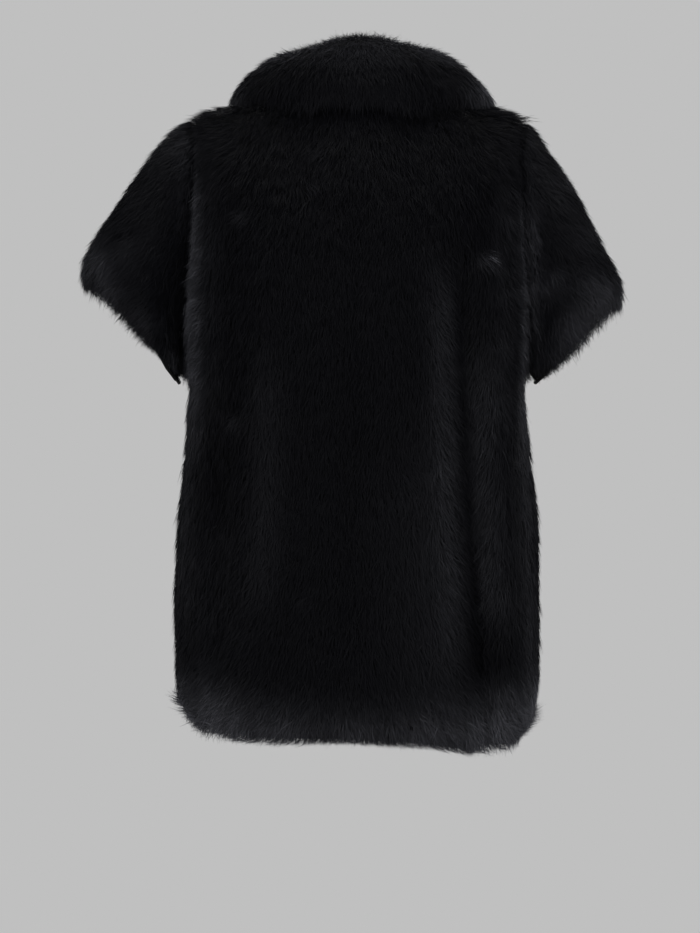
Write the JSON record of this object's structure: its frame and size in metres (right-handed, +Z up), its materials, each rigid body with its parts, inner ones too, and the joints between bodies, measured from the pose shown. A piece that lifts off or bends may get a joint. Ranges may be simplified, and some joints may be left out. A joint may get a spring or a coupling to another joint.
{
  "type": "faux fur vest",
  "caption": "Hip-length faux fur vest with short wide sleeves and a turned-down collar, hollow and open at neck, cuffs and hem.",
  "frame": {"origin": "middle of the neck, level with the underside of the shoulder seams, where the wearer's shoulders carry the vest", "axes": "+Z up towards the collar, -Y towards the front opening, +Y towards the back, +X towards the wearer's left"},
  "size_m": [0.6476, 0.346, 0.8463],
  "materials": {
    "back": "matte long pile",
    "front_left": "matte long pile",
    "front_right": "matte long pile",
    "sleeve_left": "matte long pile",
    "sleeve_right": "matte long pile",
    "collar": "matte long pile"
  },
  "bodies": {
    "root": {"back": "back", "front_left": "front_left", "front_right": "front_right", "sleeve_left": "sleeve_left", "sleeve_right": "sleeve_right", "collar": "collar"}
  },
  "joints": []
}
